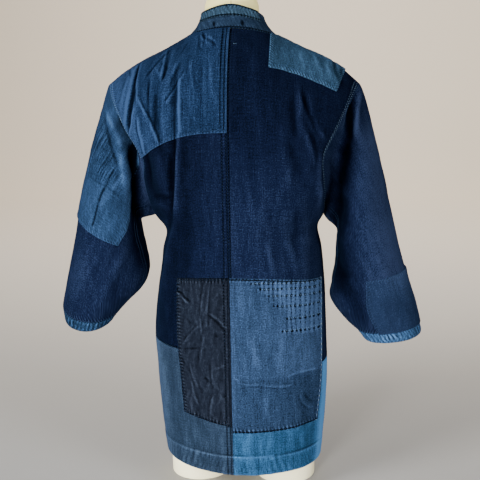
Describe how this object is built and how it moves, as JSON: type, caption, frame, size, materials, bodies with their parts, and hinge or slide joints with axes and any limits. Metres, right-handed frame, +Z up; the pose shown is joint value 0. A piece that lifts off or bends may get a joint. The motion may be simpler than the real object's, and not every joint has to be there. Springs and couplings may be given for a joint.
{
  "type": "patched boro jacket on a limbless dress form",
  "caption": "Patched indigo work jacket with wide sleeves and a long collar band, open down the front, worn by a limbless dress form.",
  "frame": {"origin": "centre of the bounding box at the floor, midway between the two stumps that the form stands on", "axes": "+Z up, +X to the wearer's right, +Y forward out of the jacket's open front, so the jacket's back faces -Y"},
  "size_m": [0.6895, 0.2443, 0.915],
  "materials": {
    "form_cover": "cream cotton cover, smooth and matte",
    "navy_twill": "indigo cotton twill, washed soft, pale at seams and folds",
    "cuff_chambray": "light indigo chambray, puckered by washing",
    "collar_cotton": "mid indigo cotton, matte",
    "hem_chambray": "blue chambray with a roped hem",
    "charcoal_cotton": "wrinkled charcoal cotton, matte",
    "patch_chambray": "mid blue chambray, worn pale along the edges",
    "faded_twill": "faded grey-blue twill"
  },
  "bodies": {
    "root": {"dress_form": "form_cover", "back_left": "navy_twill", "back_right": "navy_twill", "front_left": "navy_twill", "front_right": "navy_twill", "sleeve_left": "navy_twill", "sleeve_right": "navy_twill", "cuff_left": "cuff_chambray", "cuff_right": "cuff_chambray", "collar_band": "collar_cotton", "panel_hem_left": "hem_chambray", "panel_hem_right": "hem_chambray", "patch_back_charcoal": "charcoal_cotton", "patch_back_blue": "patch_chambray", "patch_collar": "patch_chambray", "patch_shoulder_left": "patch_chambray", "patch_shoulder_right": "faded_twill", "patch_sleeve_left": "patch_chambray", "patch_sleeve_right": "faded_twill"}
  },
  "joints": []
}
